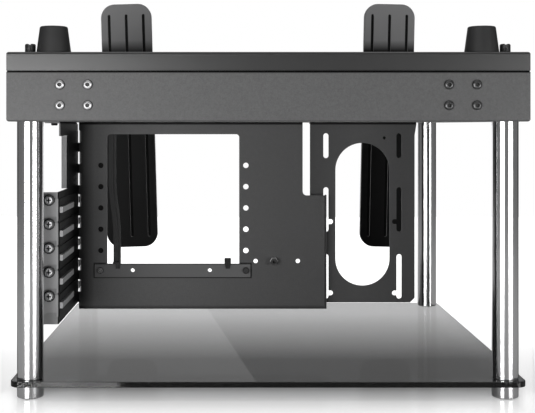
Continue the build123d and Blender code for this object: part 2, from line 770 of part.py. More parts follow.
def retaining_strap():
    """Flat strap behind the window whose lower end hooks over the crossbar."""
    y0 = TRAY_Y + SHEET
    x0, x1 = STRAP_X - STRAP_W / 2, STRAP_X + STRAP_W / 2
    top = BAR_Z1 + HOOK_FIT
    # thin band with a thicker rib along its left part
    body = slab(strap_band(-STRAP_W / 2, STRAP_W), y0 + STRAP_T - STRAP_THIN, STRAP_THIN)
    body += slab(strap_band(-STRAP_W / 2, STRAP_RIB_W), y0, STRAP_T)
    y_front = TRAY_Y - BAR_T - HOOK_FIT
    body += block(x0, x1, y_front - STRAP_T, y0 + STRAP_T, top, top + STRAP_T)
    tip = block(x0 + 2.8, x1 - 0.4, y_front - STRAP_T, y_front, top - HOOK_DROP, top + STRAP_T)
    return body + tip


def cable_clip():
    """Small grooved head on the crossbar with its ends over both faces."""
    y0 = TRAY_Y - BAR_T - HOOK_FIT
    y1 = TRAY_Y + HOOK_FIT
    top = BAR_Z1 + HOOK_FIT
    x0, x1 = CLIP_X - CLIP_W / 2, CLIP_X + CLIP_W / 2
    head = Pos(CLIP_X, top + CLIP_RISE / 2) * RectangleRounded(CLIP_W, CLIP_RISE, 1.0)
    body = slab(head, y0 - CLIP_T, y1 - y0 + 2 * CLIP_T)
    leg_shape = make_face(
        Polyline(
            [(x0, top + 1.5), (x1, top + 1.5), (x1 - 1.2, top - HOOK_DROP), (x0 + 1.2, top - HOOK_DROP)],
            close=True,
        )
    )
    body += slab(leg_shape, y0 - CLIP_T, CLIP_T)
    short = Pos(CLIP_X, top - 0.4) * Rectangle(CLIP_W - 1, 2.8)
    body += slab(short, y1, CLIP_T)
    for side in (-1, 1):
        x = CLIP_X + side * CLIP_W * 0.22
        body -= block(
            x - 0.35, x + 0.35, y0 - CLIP_T - 1, y0 - CLIP_T + CLIP_GROOVE, top + 0.8, top + CLIP_RISE - 0.8
        )
    return body


# --------------------------------------------------------- expansion bracket
def slot_centres():
    return [SLOT_Z - i * SLOT_PITCH for i in range(SLOT_N)]


def expansion_bracket():
    t, r = SHEET, SMALL_R
    y_back = TRAY_Y + SHEET + t - r          # tangent of the rear fold
    top = -r
    out_x = BRACKET_X - t
    outline = make_face(
        Polyline(
            [
                (y_back, BRACKET_Z0),
                (TAB_TANGENT_Y, BRACKET_Z0),
                (TAB_TANGENT_Y, BRACKET_Z1),
                (SETBACK_Y + r, BRACKET_Z1),
                (SETBACK_Y + r, BRACKET_Z2),
                (EAR_Y, BRACKET_Z2),
                (EAR_Y, top),
                (y_back, top),
            ],
            close=True,
        )
    )
    for z in slot_centres():
        y0, y1 = TAB_Y + OPENING_FRONT, TRAY_Y - OPENING_REAR
        outline -= Pos((y0 + y1) / 2, z) * RectangleRounded(y1 - y0, OPENING_H, 2)
    body = side_slab(outline, out_x, t)
    left, right, front, back = (-1, 0, 0), (1, 0, 0), (0, -1, 0), (0, 1, 0)
    inner = BRACKET_X
    # front tab, set-back flange and top flange turn outward
    body += fold(
        (inner, TAB_TANGENT_Y, BRACKET_Z1), front, left, BRACKET_Z1 - BRACKET_Z0, t, TAB_R, inner - TAB_X
    )
    body += fold(
        (inner, SETBACK_Y + r, BRACKET_Z2 - RELIEF),
        front,
        left,
        BRACKET_Z2 - BRACKET_Z1 - 2 * RELIEF,
        t,
        r,
        OUT_FLANGE,
    )
    y_top = y_back - 4
    body += fold((inner, y_top, top), (0, 0, 1), left, y_top - EAR_Y, t, r, TOP_FLANGE)
    # rear flange turns inward behind the tray
    body += fold(
        (out_x, y_back, BRACKET_Z2 + 4), back, right, BRACKET_Z2 - BRACKET_Z0 + 4, t, r, REAR_FLANGE
    )
    body -= slab(tongue_slots(), TRAY_Y, 3 * t)
    for z in slot_centres():
        body -= rod_y(
            SLOT_SCREW_X, z + SLOT_SCREW_UP, TAB_Y - 1, TAB_Y + 6, SLOT_SCREW_D + 2 * STUD_FIT
        )
    for x in TRAY_HOLE_X[:1]:
        body -= rod_y(x, BAR_SCREW_Z, TRAY_Y, TRAY_Y + 3 * t, M3_D + M3_CLEAR)
    for x, y in hanger_points()["bracket"]:
        body -= rod(x, y, -t - 1, 1, M3_D + M3_CLEAR)
    return body


def slot_cover(z):
    t, r = COVER_T, TAB_R + COVER_T
    x = BRACKET_X + t
    w = COVER_W / 2
    y_end = TRAY_Y - COVER_GAP_Y
    z_tongue = z + TONGUE_UP
    plate = make_face(
        Polyline(
            [
                (TAB_TANGENT_Y, z - w),
                (TAB_TANGENT_Y, z + w),
                (y_end - 4, z + w),
                (y_end, z_tongue + TONGUE_W / 2),
                (y_end, z_tongue - TONGUE_W / 2),
                (y_end - 4, z - w),
            ],
            close=True,
        )
    )
    body = side_slab(plate, BRACKET_X, t)
    # hemmed tongue through the slot of the tray
    tongue = make_face(
        Polyline(
            [
                (y_end - 3, z_tongue - TONGUE_W / 2),
                (y_end - 3, z_tongue + TONGUE_W / 2),
                (TRAY_Y + TONGUE_BEHIND, z_tongue + TONGUE_W / 2 - 0.6),
                (TRAY_Y + TONGUE_BEHIND, z_tongue - TONGUE_W / 2 + 0.6),
            ],
            close=True,
        )
    )
    body += side_slab(tongue, BRACKET_X + 0.1, TONGUE_T)
    body += fold(
        (x, TAB_TANGENT_Y, z + w), (0, -1, 0), (-1, 0, 0), COVER_W, t, r, x - COVER_TAB_X
    )
    # notch for its own screw at the upper edge, relief for the screw below
    up = z + SLOT_SCREW_UP
    body -= rod_y(SLOT_SCREW_X, up, TAB_Y - 1, TAB_Y + t + 0.05, NOTCH_D)
    low = up - SLOT_PITCH
    body -= rod_y(SLOT_SCREW_X, low, TAB_Y - 1, TAB_Y + t + 0.05, COLLAR_D + 2.6)
    body -= block(
        SLOT_SCREW_X, x - r, TAB_Y - 1, TAB_Y + t + 0.05, z - w - 1, low + COLLAR_D / 2 + 1.3
    )
    return body


def slot_ribs():
    """Channel section stiffener along the middle of each slot cover."""
    out = []
    x = BRACKET_X + COVER_T
    for z in slot_centres():
        rib = block(x, x + RIB_H, RIB_Y0, RIB_Y1, z - RIB_W / 2, z + RIB_W / 2)
        rib = fillet(rib.edges().filter_by(Axis.Y).group_by(Axis.X)[-1], RIB_T * 0.6)
        rib -= block(
            x - 1, x + RIB_H - RIB_T, RIB_Y0 + RIB_T, RIB_Y1 - RIB_T, z - RIB_W / 2 + RIB_T, z + RIB_W / 2 - RIB_T
        )
        out.append(rib)
    return out


def slot_screws():
    screw = cross_screw(SLOT_SCREW_D, SLOT_HEAD_D, SLOT_HEAD_H, COLLAR_H + COVER_T + SHEET + 3)
    return [
        to_front(SLOT_SCREW_X, TAB_Y - COLLAR_H, z + SLOT_SCREW_UP) * screw for z in slot_centres()
    ]


def slot_collars():
    """Knurled collars under the heads of the slot screws."""
    ring = Pos(0, 0, COLLAR_H / 2) * Cylinder(COLLAR_D / 2, COLLAR_H)
    ring = chamfer(ring.edges().group_by(Axis.Z)[-1], COLLAR_H * 0.2)
    for i in range(12):
        a = math.radians(30 * i)
        ring -= rod(
            COLLAR_D * 0.53 * math.cos(a), COLLAR_D * 0.53 * math.sin(a), -1, COLLAR_H + 1, COLLAR_D * 0.11
        )
    ring -= rod(0, 0, -1, COLLAR_H + 1, SLOT_SCREW_D + 2 * STUD_FIT)
    return [to_front(SLOT_SCREW_X, TAB_Y, z + SLOT_SCREW_UP) * ring for z in slot_centres()]


# ------------------------------------------------------------- cooler plate
def cooler_plate():
    t, r = COOL_T, SMALL_R
    top = -r
    outline = make_face(
        Polyline(
            [
                (COOL_X0, COOL_Z0),
                (COOL_X1 - COOL_CHAMFER, COOL_Z0),
                (COOL_X1, COOL_Z0 + COOL_CHAMFER),
                (COOL_X1, top - GUSSET_H),
                (COOL_X1 + GUSSET_W, top),
                (COOL_X0, top),
            ],
            close=True,
        )
    )
    outline -= slot_z(STADIUM_X, STADIUM_Z0, STADIUM_Z1, STADIUM_W)
    for s in (-1, 1):
        x = STADIUM_X + s * COOL_SLOT_PX / 2
        for z0, z1 in COOL_SLOTS:
            outline -= slot_z(x, z0, z1, COOL_SLOT_W)
        for z in COOL_NOTCH_Z:
            # side notch from the slot toward the stadium
            reach = COOL_SLOT_W / 2 + COOL_NOTCH_REACH
            outline -= Pos(x - s * reach / 2, z) * SlotOverall(reach, COOL_SLOT_W * 0.95)
    outline -= Pos(COOL_PIN_X, COOL_PIN_Z) * Circle(COOL_PIN_D / 2)
    body = slab(outline, COOL_Y, t)
    wide = COOL_X1 + GUSSET_W
    body += fold((wide, COOL_Y, top), (0, 0, 1), (0, 1, 0), wide - COOL_X0, t, r, FLANGE)
    for x, y in hanger_points()["cooler"]:
        body -= rod(x, y, -t - 1, 1, M3_D + M3_CLEAR)
    return body


def hanger_screws():
    """Screws up through the top flanges into nuts inside the deck."""
    out = []
    thick = {"tray": SHEET, "cooler": COOL_T, "bracket": SHEET}
    for name, points in hanger_points().items():
        screw = cross_screw(
            M3_D, M3_HEAD_D - 0.6, M3_HEAD_H, thick[name] + DECK_T + M3_NUT_H + 0.6
        )
        for x, y in points:
            out.append(Pos(x, y, -thick[name]) * Rot(180, 0, 0) * screw)
    return out


def hanger_nuts():
    one = nut(M3_NUT_AF, M3_NUT_H, M3_D + 2 * STUD_FIT)
    return [
        Pos(x, y, DECK_T) * one for points in hanger_points().values() for x, y in points
    ]


# ------------------------------------------------------------------- export
def write(name, shape):
    centred = Pos(0, -Y_MIDDLE, 0)
    if isinstance(shape, list):
        shape = Compound(children=[centred * one for one in shape])
    else:
        shape = centred * shape
    export_step(shape, f"parts/{name}.step")


def hang(name, shape):
    """Write a piece that hangs below the deck's underside."""
    under = Pos(0, 0, DECK_Z)
    write(name, [under * one for one in shape] if isinstance(shape, list) else under * shape)


def build():
    os.makedirs("parts", exist_ok=True)
    write("top_cover", top_cover())
    write("deck_pan", deck_pan())
    for name, (sx, sy) in CORNERS.items():
        write(f"corner_bracket_{name}", corner_bracket(sx, sy))
        write(f"leg_{name}", leg(sx, sy))
        write(f"foot_{name}", foot(sx, sy))
        write(f"cone_foot_{name}", cone_foot(sx, sy))
    write("leg_plugs", leg_plugs())
    write("leg_bolts", leg_bolts())
    write("foot_pads", foot_pads())
    write("foot_studs", foot_studs())
    write("shelf_washers", shelf_washers())
    write("glass_shelf", glass_shelf())
    write("cone_screws", cone_screws())
    write("cone_nuts", cone_nuts())
    write("stand_foot_left", stand_foot(-1))
    write("stand_foot_right", stand_foot(1))
    write("stand_screws", stand_screws())
    write("wall_screws_left", wall_screws(-1))
    write("wall_screws_right", wall_screws(1))
    write("wall_nuts", wall_nuts())
    hang("motherboard_tray", motherboard_tray())
    hang("standoff", standoff())
    hang("crossbar", crossbar())
    hang("crossbar_screws", crossbar_screws())
    hang("retaining_strap", retaining_strap())
    hang("cable_clip", cable_clip())
    hang("expansion_bracket", expansion_bracket())
    for i, z in enumerate(slot_centres(), 1):
        hang(f"slot_cover_{i}", slot_cover(z))
    hang("slot_ribs", slot_ribs())
    hang("slot_screws", slot_screws())
    hang("slot_collars", slot_collars())
    hang("cooler_plate", cooler_plate())
    hang("hanger_screws", hanger_screws())
    hang("hanger_nuts", hanger_nuts())


build()
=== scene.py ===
# %% [markdown]
# # Open air test bench
# The bench is a hollow steel deck on four polished tube legs, with a smoked
# glass shelf near the floor. A motherboard tray, an expansion bracket and a
# slotted cooler plate hang under the deck. Every rigid piece arrives from the
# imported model, already in metres and in its place, so this file gives those
# pieces their finishes and sets the studio around them.

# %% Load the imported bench
import math

import bmesh
import bpy
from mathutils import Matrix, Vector


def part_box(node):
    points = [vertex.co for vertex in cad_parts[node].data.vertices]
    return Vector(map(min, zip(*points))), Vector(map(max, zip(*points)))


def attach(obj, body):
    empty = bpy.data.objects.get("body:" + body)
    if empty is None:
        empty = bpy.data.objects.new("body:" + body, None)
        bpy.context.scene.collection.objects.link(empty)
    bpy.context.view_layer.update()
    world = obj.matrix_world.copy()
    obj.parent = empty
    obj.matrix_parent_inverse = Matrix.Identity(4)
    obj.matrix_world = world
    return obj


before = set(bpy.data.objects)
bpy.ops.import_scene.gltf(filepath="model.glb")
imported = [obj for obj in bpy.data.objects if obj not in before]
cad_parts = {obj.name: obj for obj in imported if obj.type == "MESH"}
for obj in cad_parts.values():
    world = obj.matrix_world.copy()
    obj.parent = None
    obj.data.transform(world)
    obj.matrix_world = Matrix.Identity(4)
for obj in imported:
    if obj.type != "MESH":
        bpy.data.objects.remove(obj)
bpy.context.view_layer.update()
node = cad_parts

# %% [markdown]
# ## Shader maths as Python
# Procedural finishes are easier to read as sums than as node wiring. The
# `Wire` class wraps one output socket, so that `0.2 + 0.1 * grain` adds the
# Math nodes by itself. Colours mix through a Mix node, because Math nodes
# would turn them grey.


# %% Wire: one socket with operators
class Wire:
    def __init__(self, tree, socket):
        self.tree = tree
        self.socket = socket

    def math(self, operation, *others, clamp=False):
        made = self.tree.nodes.new("ShaderNodeMath")
        made.operation = operation
        made.use_clamp = clamp
        for slot, value in zip(made.inputs, (self, *others)):
            if isinstance(value, Wire):
                self.tree.links.new(value.socket, slot)
            else:
                slot.default_value = value
        return Wire(self.tree, made.outputs[0])

    def __add__(self, other):
        return self.math("ADD", other)

    __radd__ = __add__

    def __mul__(self, other):
        return self.math("MULTIPLY", other)

    __rmul__ = __mul__

    def __sub__(self, other):
        return self.math("SUBTRACT", other)

    def __rsub__(self, other):
        return (self * -1.0) + other

    def __abs__(self):
        return self.math("ABSOLUTE")

    def clamp(self):
        return self.math("ADD", 0.0, clamp=True)

    def ramp(self, low, high):
        """0 below low and 1 above high, straight in between."""
        return ((self - low) * (1.0 / (high - low))).clamp()


print("Wire has + - * abs, clamp and ramp")

# %% [markdown]
# ## One class for a material
# Every finish starts from the Principled shader and adds a few nodes. The
# patterns read Object coordinates, which on these pieces are metres in the
# bench's own frame, so a place on the bench can be named in a mask.


# %% Finish: one material and the nodes in it
class Finish:
    def __init__(self, name):
        self.material = bpy.data.materials.new(name)
        self.material.use_nodes = True
        self.tree = self.material.node_tree
        self.shader = self.tree.nodes["Principled BSDF"]
        self.output = self.tree.nodes["Material Output"]

    def fill(self, slot, value):
        """Link a wire to a socket, or write a value on it."""
        if isinstance(value, Wire):
            self.tree.links.new(value.socket, slot)
        else:
            slot.default_value = value

    def add(self, kind, settings=None, out=0, **inputs):
        """Any node: its type, its settings first, then values or links.
        An input goes by its name, with _ for a space, or by number, as _6."""
        made = self.tree.nodes.new("ShaderNode" + kind)
        for key, value in (settings or {}).items():
            setattr(made, key, value)
        for key, value in inputs.items():
            where = int(key[1:]) if key[1:].isdigit() else key.replace("_", " ")
            self.fill(made.inputs[where], value)
        return Wire(self.tree, made.outputs[out])

    def place(self, scale=(1.0, 1.0, 1.0)):
        """The piece's own coordinates in metres, stretched by scale."""
        return self.add("Mapping", Vector=self.add("TexCoord", out=3), Scale=scale)

    def along(self, axis):
        """Metres along X, Y or Z (0, 1 or 2), in the bench's own frame."""
        return self.add("SeparateXYZ", out=axis, Vector=self.place())

    def faces_front(self, low, high):
        """Mask: 1 on the faces that look to the front, 0 on the others."""
        toward = self.add("SeparateXYZ", out=1, Vector=self.add("TexCoord", out=1))
        return (-1.0 * toward).ramp(low, high)

    def noise(self, scale, detail=2.0, rough=0.5, stretch=(1.0, 1.0, 1.0)):
        place = self.place(stretch)
        return self.add("TexNoise", Vector=place, Scale=scale, Detail=detail, Roughness=rough)

    def tint(self, mask, painted_shade, painted_lit):
        """Blend two colours, or links that carry them, by a mask."""
        low, high = (c if isinstance(c, Wire) else (*c, 1.0) for c in (painted_shade, painted_lit))
        return self.add("Mix", {"data_type": "RGBA"}, out=2, _0=mask, _6=low, _7=high)

    def bump(self, height, strength, distance):
        return self.add("Bump", Height=height, Strength=strength, Distance=distance)

    def set(self, **values):
        """Values or links on the Principled shader."""
        for key, value in values.items():
            self.fill(self.shader.inputs[key.replace("_", " ")], value)
        return self


print("Finish has place, along, faces_front, noise, tint, bump and set")

# %% [markdown]
# ## Small helpers
# Two greys of the same finish differ in one number, so a colour is written
# as one shade. Pieces of one kind stand at the four corners and share a
# finish, which is why `dress` takes many names.


# %% Greys, corners and dressing
CORNERS = ("front_left", "front_right", "rear_left", "rear_right")


def grey(shade):
    return (shade, shade, shade * 1.01)


def middle_and_half(name, axis):
    """The middle of a piece along an axis, and half of its size there."""
    low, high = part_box(name)
    return (low[axis] + high[axis]) / 2, (high[axis] - low[axis]) / 2


def dress(finish, *names):
    """Put one finish on the named pieces."""
    for name in names:
        mesh = node[name].data
        mesh.materials.clear()
        mesh.materials.append(finish.material)
    print(finish.material.name, "on", len(names))


# %% [markdown]
# ## Powder coat
# The deck and the hanging sheets are folded steel with a textured powder
# coat. Close up it is a skin of small beads, so a fine noise drives the bump,
# and a wider one breathes in the colour and the gloss. A flat grey would look
# like card. A mask can paint shade on the coat: black where it names a shadow.


# %% Powder coat with an optional mask of painted shade
# black of the painted shade that a mask lays on a coat
SHADE_BLACK = 0.006


def powder_coat(name, shade, gloss, grain, mottle=0.16, painted_shade=None, relief=0.0003):
    """Textured coat, with an optional mask of where shade is painted black."""
    coat = Finish(name)
    beads = coat.noise(grain, detail=3.0, rough=0.6)
    cloud = coat.noise(grain * 0.27, detail=4.0, rough=0.65)
    mask = (0.55 * beads + 0.45 * cloud).ramp(0.36, 0.64)
    paint = coat.tint(mask, grey(shade * (1 - mottle)), grey(shade * (1 + mottle)))
    if painted_shade:
        paint = coat.tint(painted_shade(coat), paint, grey(SHADE_BLACK))
    return coat.set(
        Base_Color=paint,
        Roughness=gloss + 0.12 * cloud,
        Normal=coat.bump(beads, 0.35, relief),
    )


# %% [markdown]
# ## The deck: painted shade inside, and at the seam
# The deck is a box: a shallow folded cover above a deeper folded pan. Its
# inside gets no light, so it is painted black as shade. A second material slot
# would need its faces sorted, but the inside can be told from the outside by
# place alone: it lies one sheet inwards of the outline. The edges at the seam
# are painted dark too, as the shadow of the gap.

# %% Mask of the deck's inside, where shade is painted
SHEET_SKIN = 0.0006
SHARP = 0.0001


def inside_of(coat, name, bottom_open):
    """1 on the inner faces of a folded tray, 0 on its outside."""
    found = 1.0
    for axis in (0, 1):
        middle, half = middle_and_half(name, axis)
        inward = half - SHEET_SKIN - abs(coat.along(axis) - middle)
        found = inward.ramp(0.0, SHARP) * found
    low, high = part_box(name)
    z = coat.along(2)
    depth = high[2] - SHEET_SKIN - z if bottom_open else z - (low[2] + SHEET_SKIN)
    return found * depth.ramp(0.0, SHARP)


# %% Coats of the cover and the pan
SEAM_GAP = 0.0012
seam_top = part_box("top_cover")[0][2]
seam_foot = seam_top - SEAM_GAP


def cover_painted_shade(coat):
    """Mask of painted shade: the inside of the cover and its lower edge at the seam."""
    edge = 1.0 - coat.along(2).ramp(seam_top + 0.0003, seam_top + 0.0005)
    return (inside_of(coat, "top_cover", True) + edge).clamp()


def pan_painted_shade(coat):
    """Mask of painted shade: the inside of the pan and its rim at the seam."""
    rim = coat.along(2).ramp(seam_foot - 0.0010, seam_foot - 0.0007)
    return (inside_of(coat, "deck_pan", False) + rim).clamp()


# both coats paint black shade inside the deck and along the seam
cover_coat = powder_coat(
    "cover_coat",
    shade=0.022,
    gloss=0.25,
    grain=1500.0,
    mottle=0.06,
    painted_shade=cover_painted_shade,
    relief=0.0001,
)
pan_coat = powder_coat(
    "pan_coat", shade=0.096, gloss=0.42, grain=1300.0, mottle=0.17, painted_shade=pan_painted_shade
)
dress(cover_coat.set(Specular_IOR_Level=1.0), "top_cover")
dress(pan_coat, "deck_pan")

# %% [markdown]
# ## The line between cover and pan
# The cover stands a little above the pan, and the gap reads as one thin
# black line around the deck. A flat black ring in the gap closes it and stands
# in for the gap's shadow, as painted shade: a cube without its top and bottom,
# given a wall by the solidify operator.

# %% Ring in the seam
RING_IN = 0.0004  # how far the ring stands back from the outside of the cover
RING_WALL = 0.0006
cover_low, cover_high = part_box("top_cover")
ring = bmesh.new()
bmesh.ops.create_cube(ring, size=1.0)
flat = [f for f in ring.faces if abs(f.normal.z) > 0.5]
bmesh.ops.delete(ring, geom=flat, context="FACES_ONLY")
wide, deep = (cover_high[axis] - cover_low[axis] - 2 * RING_IN for axis in (0, 1))
centre = Vector((0.0, (cover_low[1] + cover_high[1]) / 2, seam_top - SEAM_GAP / 2))
bmesh.ops.scale(ring, vec=Vector((wide, deep, SEAM_GAP)), verts=ring.verts)
bmesh.ops.translate(ring, vec=centre, verts=ring.verts)
bmesh.ops.recalc_face_normals(ring, faces=ring.faces)
bmesh.ops.solidify(ring, geom=ring.faces, thickness=RING_WALL)

# %% The ring as a piece of the bench
ring_mesh = bpy.data.meshes.new("seam_ring")
ring.to_mesh(ring_mesh)
ring.free()
seam_ring = bpy.data.objects.new("seam_ring", ring_mesh)
bpy.context.scene.collection.objects.link(seam_ring)
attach(seam_ring, "root")
print("seam ring faces:", len(ring_mesh.polygons))

# %% [markdown]
# ## Charcoal paint on the hanging sheets
# The tray and the cooler plate have a smoother paint with a slight sheen.
# They hang close under the deck and close to each other, so narrow shadows
# outline them: at the tray's fold, along the deck, and around the crossbar.
# The studio's light alone leaves these lines too pale, so masks paint them
# darker as painted shadow. The tray is also painted darker towards its right
# and the plate at its left edge, and the plate's paint is set darker than the
# tray's, all as painted shade.

# %% Masks of the painted narrow shadows
tray_low, tray_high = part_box("motherboard_tray")
plate_low, plate_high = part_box("cooler_plate")
DECK_LINE_Z = 0.2238
BAR_LINE = 0.0012


def deck_shadow_line(coat):
    """Mask: the painted shadow where a hanging sheet meets the deck."""
    return (coat.along(2) - DECK_LINE_Z).ramp(0.0, 0.0005)


def bar_shadow_line(coat):
    """Mask: a thin painted shadow around the crossbar."""
    found = 0.8
    for axis in (0, 2):
        middle, half = middle_and_half("crossbar", axis)
        inward = half + BAR_LINE - abs(coat.along(axis) - middle)
        found = inward.ramp(0.0, 0.0006) * found
    return found


# %% Charcoal paint with painted shade
def tray_painted_shade(coat):
    """Painted shade: dark at the left fold, lightest beside it, a little darker to the right.
    """
    run = coat.along(0) - tray_low[0]
    fold = 0.9 - 0.9 * run.ramp(0.003, 0.015)
    right = 0.3 * run.ramp(0.03, 0.19)
    return (fold + right + deck_shadow_line(coat) + bar_shadow_line(coat)).clamp()


def plate_painted_shade(coat):
    """Painted shade: darker at the left edge of the cooler plate."""
    left = 0.4 - 0.4 * (coat.along(0) - plate_low[0]).ramp(0.0, 0.045)
    return (left + deck_shadow_line(coat)).clamp()


# the plate's shade is set below the tray's as painted shade
tray_paint = powder_coat(
    "tray_paint", shade=0.088, gloss=0.42, grain=900.0, mottle=0.07, painted_shade=tray_painted_shade
)
plate_paint = powder_coat(
    "plate_paint", shade=0.066, gloss=0.42, grain=900.0, mottle=0.05, painted_shade=plate_painted_shade
)
dress(tray_paint.set(Specular_IOR_Level=0.3), "motherboard_tray")
dress(plate_paint.set(Specular_IOR_Level=0.3), "cooler_plate")

# %% [markdown]
# ## Painted light and shade on the bracket and its covers
# The faces that look to the front are charcoal like the tray but painted
# lighter, as painted light, while the side plate and the flange behind the
# tray are painted black as shade. Both shades are on one folded sheet, so the
# direction of each face picks its shade, without a second material slot. The
# crossbar takes the same two shades, so its sides paint a dark outline of
# shadow around it.


# %% Bracket shades: painted light and shade
def lit_and_shaded(name, front, side, behind):
    """Painted light and shade: front on the faces towards the front, side elsewhere and past
    behind.
    """
    coat = Finish(name)
    beads = coat.noise(900.0, detail=3.0, rough=0.6)
    ahead = (behind - coat.along(1)).ramp(0.0, 0.0003)
    painted_lit = coat.tint(beads, grey(front * 0.93), grey(front * 1.07))
    painted_shade = coat.tint(beads, grey(side * 0.8), grey(side * 1.2))
    return coat.set(
        Base_Color=coat.tint(coat.faces_front(0.75, 0.9) * ahead, painted_shade, painted_lit),
        Roughness=0.5 + 0.12 * beads,
        Normal=coat.bump(beads, 0.35, 0.0003),
        Specular_IOR_Level=0.12,
    )


tray_front, tray_back = tray_low[1], tray_high[1]
# front shades are painted light, side shades are painted shade
bracket_coat = lit_and_shaded("bracket_coat", front=0.36, side=0.004, behind=tray_front)
slot_cover_coat = lit_and_shaded("slot_cover_coat", front=0.46, side=0.006, behind=tray_front)
bar_paint = lit_and_shaded("bar_paint", front=0.125, side=0.005, behind=tray_back)
dress(bracket_coat, "expansion_bracket")
dress(slot_cover_coat, *[f"slot_cover_{i}" for i in range(1, 6)])
dress(bar_paint, "crossbar")

# %% [markdown]
# ## Polished tubes
# The legs are bright tube with fine lines along their length from the
# polishing wheel. The lines barely change the colour but they blur the
# reflections sideways, so a noise stretched along the tube drives the
# roughness and a very low bump.

# %% Tube finish
tube = Finish("polished_tube")
lines = tube.noise(1.0, detail=3.0, rough=0.6, stretch=(900.0, 900.0, 1.5))
tube.set(
    Base_Color=tube.tint(lines, (0.70, 0.70, 0.71), (0.80, 0.80, 0.81)),
    Metallic=1.0,
    Roughness=0.12 + 0.08 * lines,
    Normal=tube.bump(lines, 0.004, 0.0001),
)
dress(tube, *[f"leg_{c}" for c in CORNERS], *[f"foot_{c}" for c in CORNERS])

# %% [markdown]
# ## Smoked glass shelf
# Smoked glass lets little light through and mirrors a lot at a low angle.
# The tint sits on the base colour of a transmissive shader, and the surface
# stays almost perfectly smooth. Thin grey washers lie on both of its faces.

# %% Glass finish
glass = Finish("smoked_glass")
film = glass.noise(60.0, detail=2.0)
glass.set(
    Base_Color=(0.16, 0.165, 0.17, 1.0),
    Roughness=0.008 + 0.01 * film,
    IOR=1.55,
    Transmission_Weight=1.0,
)
dress(glass, "glass_shelf")

# %% Washers
washer = Finish("thin_washer")
speckle = washer.tint(washer.noise(900.0), grey(0.10), grey(0.14))
dress(washer.set(Base_Color=speckle, Roughness=0.5), "shelf_washers")

# %% [markdown]
# ## What the shelf mirrors
# In the photograph the shelf mirrors the studio and none of the pieces above
# it, which is how such pictures are often finished. Each piece that would
# show in it is hidden from glossy rays. It stays visible in every other way,
# and still casts its shadow.

# %% Pieces that no mirror shows
unmirrored = [
    "motherboard_tray",
    "cooler_plate",
    "leg_plugs",
    "leg_bolts",
    "foot_studs",
    *[f"stand_foot_{side}" for side in ("left", "right")],
    *[f"leg_rear_{side}" for side in ("left", "right")],
]
for name in unmirrored:
    node[name].visible_glossy = False
print("not mirrored:", len(unmirrored))

# %% [markdown]
# ## Rubber and moulded plastic
# The cones and pads are black rubber, dull with a soft bloom. The strap and
# its clip are black nylon. All are moulded, so a fine speck in the bump and a
# wide, faint cloud in the colour do for each of them.


# %% Rubber and nylon
def moulded(name, shade, gloss, grain, depth):
    skin = Finish(name)
    speck = skin.noise(grain, detail=2.0)
    bloom = skin.noise(70.0, detail=3.0)
    return skin.set(
        Base_Color=skin.tint(bloom.ramp(0.3, 0.7), grey(shade * 0.9), grey(shade * 1.1)),
        Roughness=gloss + 0.1 * bloom,
        Normal=skin.bump(speck, 0.3, depth),
    )


rubber = moulded("black_rubber", shade=0.022, gloss=0.5, grain=1200.0, depth=0.0002)
nylon = moulded("black_nylon", shade=0.02, gloss=0.38, grain=1500.0, depth=0.0001)
dress(rubber, *[f"cone_foot_{c}" for c in CORNERS], "foot_pads")
dress(nylon.set(Specular_IOR_Level=0.15), "retaining_strap", "cable_clip")

# %% Black of the seam ring: painted shadow deep in its gap
seam_shadow_black = moulded("seam_shadow_black", shade=0.003, gloss=0.8, grain=1200.0, depth=0.0001)
seam_ring.data.materials.append(seam_shadow_black.set(Specular_IOR_Level=0.0).material)
print(seam_shadow_black.material.name, "on", seam_ring.name)

# %% [markdown]
# ## Stand feet
# The two long feet are moulded in mid grey with a fine grain and have three
# grooves down their front. Painted shadow fills the grooves, and it covers the
# part of the front that hangs behind the deck, darker on the right foot than on
# the left. Both feet lean outwards by a degree or two, so the mask of the
# grooves follows each foot's slope.

# %% Stand feet
GROOVES_REACH = 0.025  # half of the foot's width that the grooves take up
GROOVE_DEPTH = (0.0002, 0.0024)
SHADE_ENDS = (0.311, 0.323)
FOOT_GREY = 0.28


def stand_finish(side, slope, shaded):
    """slope is the foot's lean, shaded its painted shade in the shadow of the deck."""
    name = f"stand_foot_{side}"
    plastic = moulded(
        f"stand_plastic_{side}", shade=FOOT_GREY, gloss=0.42, grain=1700.0, depth=0.0001
    )
    height = plastic.along(2)
    lean = plastic.along(0) - slope * (height - middle_and_half(name, 2)[0])
    off = abs(lean - middle_and_half(name, 0)[0])
    within = 1.0 - off.ramp(GROOVES_REACH - 0.0005, GROOVES_REACH + 0.0005)
    depth = plastic.along(1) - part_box(name)[0][1]
    start, end = GROOVE_DEPTH
    groove_shade = depth.ramp(start, start + 0.0003) * (1.0 - depth.ramp(end, end + 0.0002))
    shadow = plastic.faces_front(0.3, 0.7) * (1.0 - height.ramp(*SHADE_ENDS))
    shade = plastic.tint(shadow, grey(FOOT_GREY), grey(shaded))
    return plastic.set(
        # the grooves are painted near black as shade
        Base_Color=plastic.tint(groove_shade * within, shade, grey(0.002)),
        Specular_IOR_Level=0.15,
    )


# below the deck each foot's front takes its own painted shade, darker on the right
dress(stand_finish("left", slope=-0.029, shaded=0.05), "stand_foot_left")
dress(stand_finish("right", slope=0.021, shaded=0.015), "stand_foot_right")

# %% [markdown]
# ## Fasteners
# Small fasteners read by their plating: black for the heads that show, plain
# grey for the ribs, zinc for the nuts, plugs and studs that don't. A faint
# wiping pattern in colour and roughness is enough at their size.


# %% Plating
def plated(name, shade, gloss, metal=1.0):
    plate = Finish(name)
    wipe = plate.noise(420.0, detail=2.0)
    return plate.set(
        Base_Color=plate.tint(wipe, grey(shade * 0.9), grey(shade * 1.1)),
        Metallic=metal,
        Roughness=gloss + 0.1 * wipe,
    )


